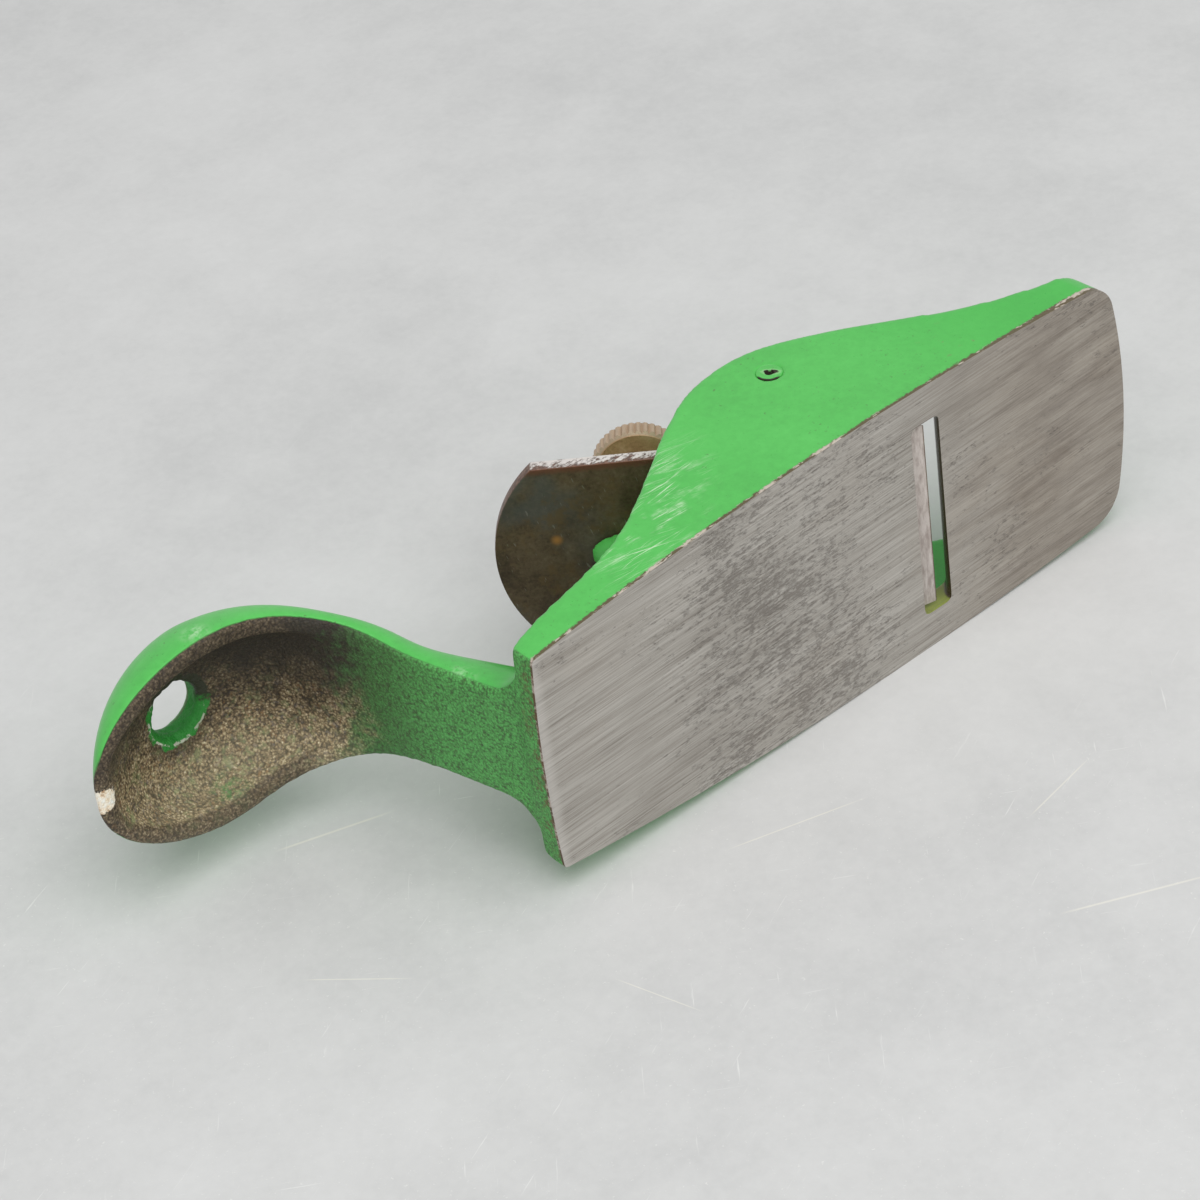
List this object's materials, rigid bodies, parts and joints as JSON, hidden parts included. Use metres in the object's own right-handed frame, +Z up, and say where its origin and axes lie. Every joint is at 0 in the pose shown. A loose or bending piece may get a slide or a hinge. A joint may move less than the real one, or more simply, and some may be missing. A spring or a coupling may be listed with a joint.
{
  "type": "pocket plane",
  "caption": "Small iron pocket plane with a squirrel-tail palm rest, low-angle cutter, lever cap on a cross pin and a knurled brass thumbscrew.",
  "frame": {"origin": "middle of the sole, on the sole's surface", "axes": "+X along the sole towards the toe, +Y to the left cheek, +Z up from the sole towards the thumbscrew"},
  "size_m": [0.1292, 0.036, 0.0438],
  "materials": {
    "enamelled_iron": "green enamel on a rough iron casting, sole ground bare",
    "enamelled_pin": "ends painted over with the body",
    "cutter_steel": "dark brown patina with a bright ground edge",
    "enamelled_cap": "green enamel, worn bare at the nose",
    "screw_steel": "dull oiled steel",
    "brass": "old dull brass, knurled rim"
  },
  "bodies": {
    "body": {"body_casting": "enamelled_iron", "cross_pin": "enamelled_pin"},
    "iron": {"cutter": "cutter_steel"},
    "cap": {"lever_cap": "enamelled_cap"},
    "stud": {"thumbscrew_stud": "screw_steel"},
    "knob": {"thumbscrew_knob": "brass"}
  },
  "joints": [
    {"name": "cutter_slide", "type": "slide", "parent": "body", "child": "iron", "axis": [-0.7431, 0, 0.6691], "range_m": [-0.0012, 0.024]},
    {"name": "cap_rock", "type": "hinge", "parent": "body", "child": "cap", "pos_m": [0.00489, 0, 0.01603], "axis": [0, -1, 0], "range_deg": [0, 7.7]},
    {"name": "screw_lift", "type": "slide", "parent": "cap", "child": "stud", "axis": [0.6691, 0, 0.7431], "range_m": [0, 0.0024]},
    {"name": "knob_turn", "type": "hinge", "parent": "stud", "child": "knob", "pos_m": [-0.00184, 0, 0.0338], "axis": [0.6691, 0, 0.7431], "range_deg": [0, 1082]}
  ],
  "couplings": [
    {"joint": "knob_turn", "follows": "screw_lift", "rad_per_m": 7854},
    {"joint": "cap_rock", "follows": "screw_lift", "rad_per_m": 54.054}
  ]
}
